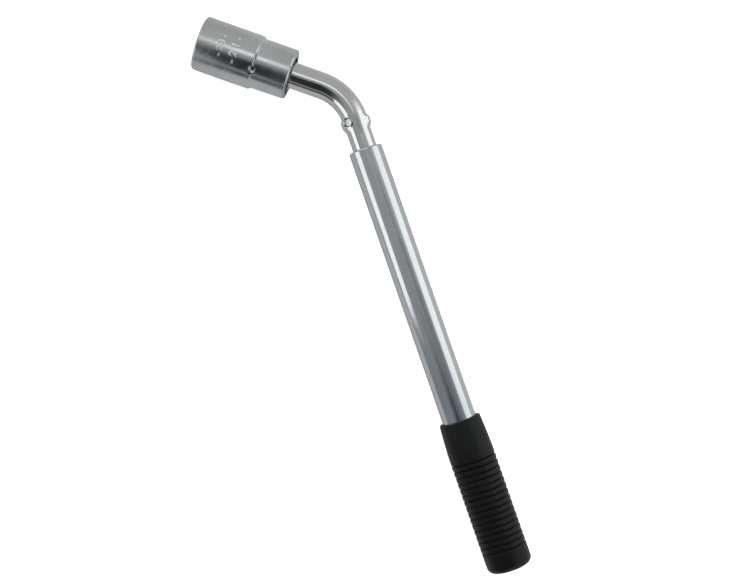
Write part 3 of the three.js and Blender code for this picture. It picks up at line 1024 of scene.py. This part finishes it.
class Studio(Shader):
    """The world: what the chrome reflects, as soft patches of light round the wrench."""

    def __init__(self):
        world = bpy.data.worlds.new("studio")
        world.use_nodes = True
        bpy.context.scene.world = world
        self.tree = world.node_tree
        direction = self.add("TexCoord", {}, "Generated")
        # X runs to the picture's right and Y up it, as the camera is turned
        turned_direction = self.add(
            "VectorRotate", {"Vector": direction, "Angle": CAMERA_TURN}, rotation_type="Z_AXIS"
        )
        parts = self.tree.nodes.new("ShaderNodeSeparateXYZ")
        self.tree.links.new(turned_direction, parts.inputs[0])
        self.x, self.y, self.z = parts.outputs
        self.elevation = self.math("MULTIPLY", self.math("ARCSINE", self.z), DEGREES)
        flat = self.math("SQRT", self.math("SUBTRACT", 1.0, self.math("MULTIPLY", self.z, self.z)))
        self.flat = self.math("MAXIMUM", flat, 0.001)
        self.light = grey(0.0)

    def window(self, value, low, high, soft):
        """1 where a value in degrees is between low and high, fading over soft."""
        edges = ((low, 0.0, 1.0), (high, 1.0, 0.0))
        fades = [
            self.add(
                "MapRange",
                {"Value": value, 1: edge - soft, 2: edge + soft, 3: before, 4: after},
                interpolation_type="SMOOTHSTEP",
            )
            for edge, before, after in edges
        ]
        return self.math("MULTIPLY", *fades)

    def round_by(self, low, high, soft=8.0):
        """Between two azimuths, counter-clockwise from the picture's right."""
        middle = math.radians((low + high) / 2)
        dot = self.math(
            "ADD",
            self.math("MULTIPLY", self.x, math.cos(middle)),
            self.math("MULTIPLY", self.y, math.sin(middle)),
        )
        share = self.math("DIVIDE", dot, self.flat)
        capped = self.math("MAXIMUM", self.math("MINIMUM", share, 1.0), -1.0)
        away = self.math("MULTIPLY", self.math("ARCCOSINE", capped), DEGREES)
        return self.window(away, -999.0, (high - low) / 2, soft)

    def high_by(self, low, high, soft=4.0):
        """Between two elevations."""
        return self.window(self.elevation, low, high, soft)

    def towards(self, azimuth, low, high, soft=4.0):
        """Between two angles from the zenith towards an azimuth."""
        turn = math.radians(azimuth)
        along = self.math(
            "ADD",
            self.math("MULTIPLY", self.x, math.cos(turn)),
            self.math("MULTIPLY", self.y, math.sin(turn)),
        )
        angle = self.math("MULTIPLY", self.math("ARCTAN2", along, self.z), DEGREES)
        return self.window(angle, low, high, soft)

    def patch(self, colour, *windows):
        """Paints over what is there, where every window is open."""
        share = windows[0]
        for window in windows[1:]:
            share = self.math("MULTIPLY", share, window)
        self.light = self.mix(share, self.light, colour)

    def finish(self):
        """The camera itself sees a plain pale wall."""
        seen = self.add("LightPath", {}, "Is Camera Ray")
        background = self.tree.nodes["Background"]
        self.put(background, "Color", self.mix(seen, self.light, grey(WALL_GREY)))


def make_world():
    """What the chrome mirrors. Each patch's place and grey was fitted by measuring until the
    bands on the chrome matched the photo's, so this is a drawn studio and not plain soft light.
    Azimuth 0 is the picture's right and 90 its top."""
    s = Studio()
    s.light = grey(0.36, (0.95, 1, 1.14))
    paint_overhead(s)
    paint_horizon(s)
    paint_sides(s)
    s.finish()


def paint_overhead(s):
    """The ceiling towards the picture's top, greyer and dark flags, and a bright slit."""
    s.patch(grey(0.7, (0.99, 1, 0.99)), s.towards(90, 12, 180), s.high_by(-5, 91))
    s.patch(grey(0.54, (0.98, 1, 1)), s.towards(106, -6, 12), s.towards(0, -62, 8, 6))
    s.patch(grey(0.16, (0.9, 1, 1.04)), s.towards(106, -30, -5, 4), s.towards(0, -24, 22, 9))
    flag = (s.towards(90, -90, -6, 4), s.round_by(221, 335, 9), s.high_by(30, 91))
    s.patch(grey(0.035, (0.86, 1, 1.04)), *flag)
    s.patch(grey(1.9, (0.98, 1, 1)), s.towards(90, 10.5, 21.5, 2), s.towards(0, -60, 8, 6))


def paint_horizon(s):
    """The table's pale edge towards the picture's bottom, and dark strips low round the room."""
    s.patch(grey(0.62), s.round_by(212, 320, 6), s.high_by(-10, 4, 2))
    s.patch(grey(0.03), s.round_by(212, 320, 6), s.high_by(4, 16, 2.5))
    for low, high in ((92, 158), (318, 352)):
        s.patch(grey(0.1), s.round_by(low, high, 5), s.high_by(-10, 7, 3))


def paint_sides(s):
    """Softboxes round the wrench, for the side views, and the one that lights the tube's right side."""
    s.patch(grey(1.5), s.round_by(98, 150, 6), s.high_by(14, 48))
    s.patch(grey(1.4), s.round_by(266, 312, 6), s.high_by(14, 44))
    s.patch(grey(1.6), s.round_by(-42, -6, 6), s.high_by(10, 44))
    s.patch(grey(1.85, (0.98, 1, 1.01)), s.round_by(9, 37, 8), s.high_by(-10, 44))


def make_lights():
    """Soft light for the paper and the grip, and a softbox at the left that only the chrome mirrors."""
    for name, (place, size, power) in (("top_light", TOP_LIGHT), ("side_light", SIDE_LIGHT)):
        area_light(name, place, Vector(), size, power, mirrored=False)
    turn = Matrix.Rotation(-CAMERA_TURN, 3, "Z")
    place = turn @ SOFTBOX_AT
    aim = turn @ Vector((0, SOFTBOX_AT.y, SOFTBOX_AT.z))
    box = area_light("left_softbox", place, aim, SOFTBOX_SIZE, SOFTBOX_POWER, mirrored=True)
    box.visible_diffuse = False


def area_light(name, place, aim, size, power, mirrored):
    """A rectangular light, which the camera doesn't see."""
    data = bpy.data.lights.new(name, "AREA")
    data.shape = "RECTANGLE"
    data.size, data.size_y = size
    data.energy = power
    light = bpy.data.objects.new(name, data)
    light.location = place
    light.rotation_euler = (aim - place).to_track_quat("-Z", "Y").to_euler()
    light.visible_glossy = mirrored
    light.visible_camera = False
    bpy.context.scene.collection.objects.link(light)
    return light


def finish_piece(piece, body, node, material):
    """Gives a piece its material, and says what it rides on and replaces."""
    piece.data.materials.clear()
    piece.data.materials.append(material)
    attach(piece, body)
    if node:
        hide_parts(node)
    return piece


def make_pieces():
    socket_chrome = chrome("chromed_socket", HEAD.along, 0.47, 0.01, 0.18, (0.945, 1, 1.005))
    # The digits get a brighter copy of the socket's chrome, a painted highlight that makes the raised
    # digits read as light marks; their worn tops are real wear.
    digit_chrome_painted_lighter = chrome("worn_digits_painted_lighter", HEAD.along, 0.68, 0.01, 0.36, (0.96, 1, 1.005))
    bar_chrome = chrome("chromed_bar", HANDLE.along, 0.5, 0.008, 0.11, (0.98, 1, 0.985))
    tube_chrome = chrome("chromed_tube", HANDLE.along, 0.5, 0.004, 0.1, (0.95, 1, 1.015))
    ground = steel("hard_steel", HANDLE.along, 0.42)
    blued = steel("spring_steel", HANDLE.along, 0.3, (0.95, 1, 1.1), (0.3, 0.45))

    finish_piece(make_socket(), "socket", "socket", socket_chrome)
    for digits, (start, height) in MARKS.items():
        mark = make_mark(digits, start, height)
        finish_piece(mark, "socket", None, digit_chrome_painted_lighter)
    finish_piece(make_bar(), "bar", "drive_bar", bar_chrome)
    finish_piece(make_tube(), "handle", "handle_tube", tube_chrome)
    finish_piece(make_grip(), "handle", "grip", black_rubber())
    finish_piece(make_plug(), "handle", "end_plug", plug_plastic())
    finish_piece(make_bush(), "bush", "guide_bush", bronze())
    finish_piece(make_collar(), "bar", "stop_collar", ground)
    finish_piece(make_pin(), "bar", "collar_pin", blued)

    drive_ball = make_ball(
        "detent_ball", HEAD, DRIVE_BALL_AT, DRIVE_TURN, DRIVE_BALL_HEIGHT, DRIVE_BALL_RADIUS
    )
    finish_piece(drive_ball, "drive_ball", "drive_ball", ground)
    handle_ball = make_ball(
        "drag_ball", HANDLE, HANDLE_BALL_AT, 0, HANDLE_BALL_HEIGHT, HANDLE_BALL_RADIUS
    )
    finish_piece(handle_ball, "handle_ball", "handle_ball", ground)
    make_springs(blued)


def make_springs(material):
    """Each spring stands in its pocket on the bar."""
    springs = (
        ("detent_spring", "drive_spring", "drive_ball_press", HEAD.radial(DRIVE_BALL_AT, DRIVE_TURN),
         DRIVE_BALL_RADIUS, DRIVE_SPRING_FROM, DRIVE_BALL_HEIGHT, DRIVE_SPRING_WIRE),
        ("drag_spring", "handle_spring", "handle_ball_press", HANDLE.radial(HANDLE_BALL_AT, 0),
         HANDLE_BALL_RADIUS, HANDLE_SPRING_FROM, HANDLE_BALL_HEIGHT, HANDLE_SPRING_WIRE),
    )
    for name, node, press, stand, ball_radius, low, ball_height, wire in springs:
        high = ball_height - ball_radius + 0.15
        spring = make_spring(name, stand, ball_radius - 0.1, low, high, wire)
        finish_piece(spring, "bar", node, material)
        stand.at(low)
        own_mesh(spring)


def make_scene():
    scene = bpy.context.scene
    scene.view_settings.view_transform = "Standard"
    make_camera()
    make_floor()
    make_world()
    make_lights()
    make_pieces()


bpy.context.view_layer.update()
make_scene()
